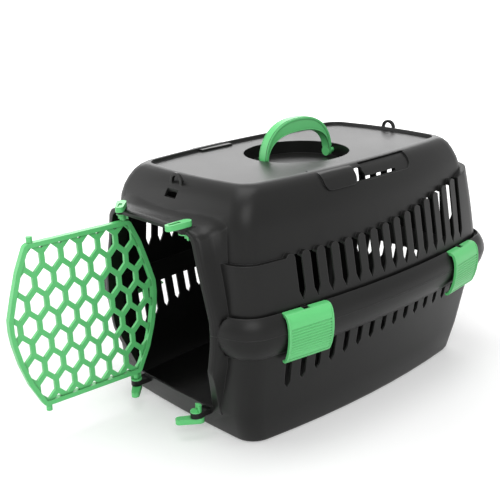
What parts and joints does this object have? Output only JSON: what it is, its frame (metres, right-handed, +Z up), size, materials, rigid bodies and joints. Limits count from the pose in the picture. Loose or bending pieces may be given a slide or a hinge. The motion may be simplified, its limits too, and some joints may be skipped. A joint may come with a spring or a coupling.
{
  "type": "pet_carrier",
  "caption": "Two-part plastic pet keeper with a swinging honeycomb door, turning door latches, side clips and a folding top handle",
  "frame": {"origin": "centre of the underside of the tub, on the middle of its flat bearer", "axes": "+X to the right-hand side as seen by someone standing at the rear and looking towards the door, -Y out through the doorway, +Y along the length to the rear, +Z up"},
  "size_m": [0.352, 0.6358, 0.345],
  "materials": {
    "black_plastic": "satin",
    "green_plastic": "satin"
  },
  "bodies": {
    "shell": {"tub": "black_plastic", "hood": "black_plastic"},
    "door": {"door": "green_plastic"},
    "handle": {"handle": "green_plastic"},
    "latch_top_right": {"latch_top_right": "green_plastic"},
    "latch_top_left": {"latch_top_left": "green_plastic"},
    "latch_bottom_right": {"latch_bottom_right": "green_plastic"},
    "latch_bottom_left": {"latch_bottom_left": "green_plastic"},
    "clip_front_right": {"clip_front_right": "green_plastic"},
    "clip_front_left": {"clip_front_left": "green_plastic"},
    "clip_rear_right": {"clip_rear_right": "green_plastic"},
    "clip_rear_left": {"clip_rear_left": "green_plastic"}
  },
  "joints": [
    {"name": "door_swing", "type": "hinge", "parent": "shell", "child": "door", "pos_m": [-0.061, -0.236, 0.1455], "axis": [0, 0, 1], "range_deg": [-58, 93]},
    {"name": "handle_fold", "type": "hinge", "parent": "shell", "child": "handle", "pos_m": [0, 0, 0.291], "axis": [0, 1, 0], "range_deg": [-88, 88]},
    {"name": "latch_top_right_turn", "type": "hinge", "parent": "shell", "child": "latch_top_right", "pos_m": [0.061, -0.236, 0.266], "axis": [0, 0, 1], "range_deg": [-90, 90]},
    {"name": "latch_top_left_turn", "type": "hinge", "parent": "shell", "child": "latch_top_left", "pos_m": [-0.061, -0.236, 0.266], "axis": [0, 0, 1], "range_deg": [-139, 41]},
    {"name": "latch_bottom_right_turn", "type": "hinge", "parent": "shell", "child": "latch_bottom_right", "pos_m": [0.061, -0.236, 0.025], "axis": [0, 0, 1], "range_deg": [-55, 125]},
    {"name": "latch_bottom_left_turn", "type": "hinge", "parent": "shell", "child": "latch_bottom_left", "pos_m": [-0.061, -0.236, 0.025], "axis": [0, 0, 1], "range_deg": [-139, 41]},
    {"name": "clip_front_right_swing", "type": "hinge", "parent": "shell", "child": "clip_front_right", "pos_m": [0.15468, -0.14546, 0.1656], "axis": [-0.1431, -0.9897, 0], "range_deg": [0, 100]},
    {"name": "clip_front_left_swing", "type": "hinge", "parent": "shell", "child": "clip_front_left", "pos_m": [-0.15468, -0.14546, 0.1656], "axis": [-0.1431, 0.9897, 0], "range_deg": [0, 100]},
    {"name": "clip_rear_right_swing", "type": "hinge", "parent": "shell", "child": "clip_rear_right", "pos_m": [0.15468, 0.14546, 0.1656], "axis": [0.1431, -0.9897, 0], "range_deg": [0, 100]},
    {"name": "clip_rear_left_swing", "type": "hinge", "parent": "shell", "child": "clip_rear_left", "pos_m": [-0.15468, 0.14546, 0.1656], "axis": [0.1431, 0.9897, 0], "range_deg": [0, 100]}
  ]
}
